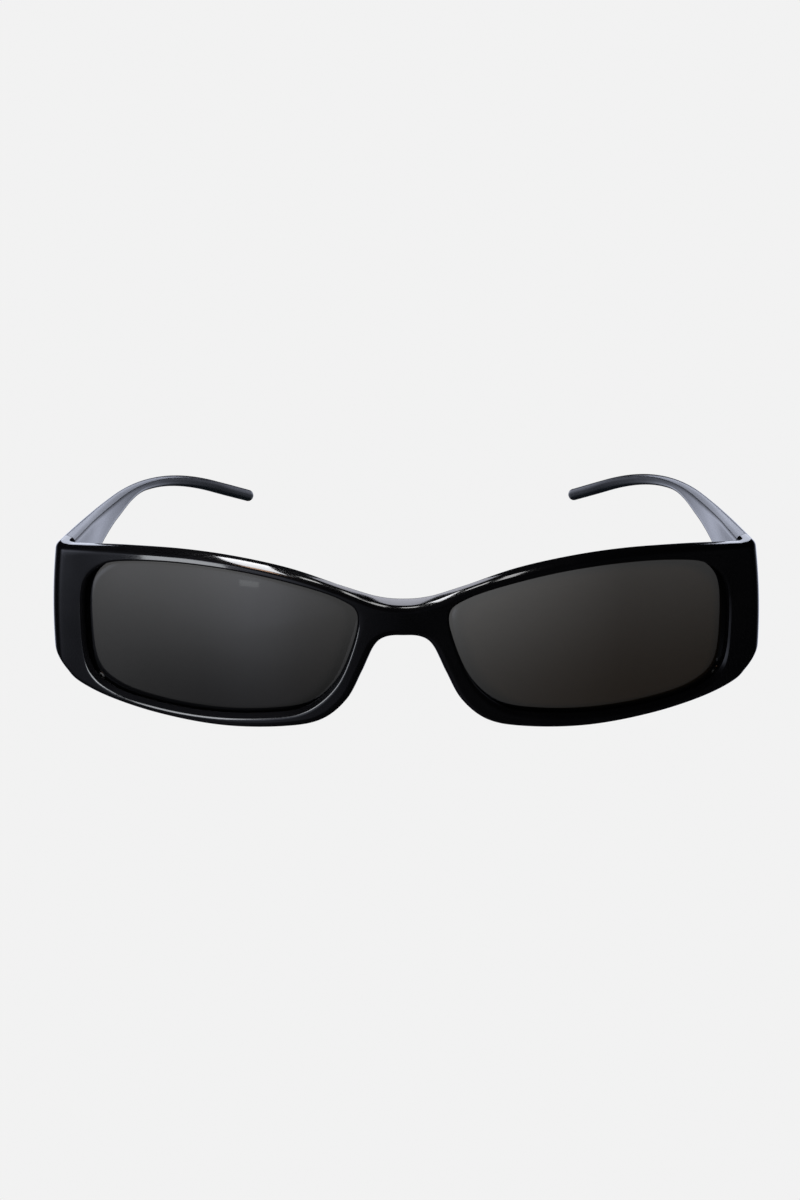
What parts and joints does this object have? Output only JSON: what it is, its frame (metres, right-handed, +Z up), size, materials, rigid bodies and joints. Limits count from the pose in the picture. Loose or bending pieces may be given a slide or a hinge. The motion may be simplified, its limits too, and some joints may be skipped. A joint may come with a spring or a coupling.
{
  "type": "full-rim sunglasses",
  "caption": "Wrapped full-rim sunglasses with deep endpieces, smoke lenses and folding temples on barrel hinges.",
  "frame": {"origin": "centre of the bounding box's base: the rims and the tips stand on Z = 0", "axes": "+X to the right as seen from in front of the lenses, +Y from the lenses back towards the tips, +Z up"},
  "size_m": [0.1442, 0.124, 0.0351],
  "materials": {
    "front_plastic": "polished black",
    "temple_plastic": "polished black",
    "lens": "smoke tint, lighter towards the top",
    "core_wire": "drawn wire",
    "hinge_metal": "satin",
    "screw_metal": "bright",
    "trim_metal": "dark gunmetal"
  },
  "bodies": {
    "front": {"front_frame": "front_plastic", "left_lens": "lens", "left_front_leaf": "hinge_metal", "left_front_leaf_screws": "screw_metal", "left_hinge_screw": "screw_metal", "right_lens": "lens", "right_front_leaf": "hinge_metal", "right_front_leaf_screws": "screw_metal", "right_hinge_screw": "screw_metal"},
    "left_arm": {"left_temple": "temple_plastic", "left_core_wire": "core_wire", "left_temple_leaf": "hinge_metal", "left_temple_leaf_screws": "screw_metal", "left_temple_trim": "trim_metal"},
    "right_arm": {"right_temple": "temple_plastic", "right_core_wire": "core_wire", "right_temple_leaf": "hinge_metal", "right_temple_leaf_screws": "screw_metal", "right_temple_trim": "trim_metal"}
  },
  "joints": [
    {"name": "left_temple_fold", "type": "hinge", "parent": "front", "child": "left_arm", "pos_m": [-0.06453, -0.039, 0.02496], "axis": [0, -0.1082, -0.9941], "range_deg": [0, 80]},
    {"name": "right_temple_fold", "type": "hinge", "parent": "front", "child": "right_arm", "pos_m": [0.06453, -0.039, 0.02496], "axis": [0, 0.1082, 0.9941], "range_deg": [0, 76]}
  ]
}
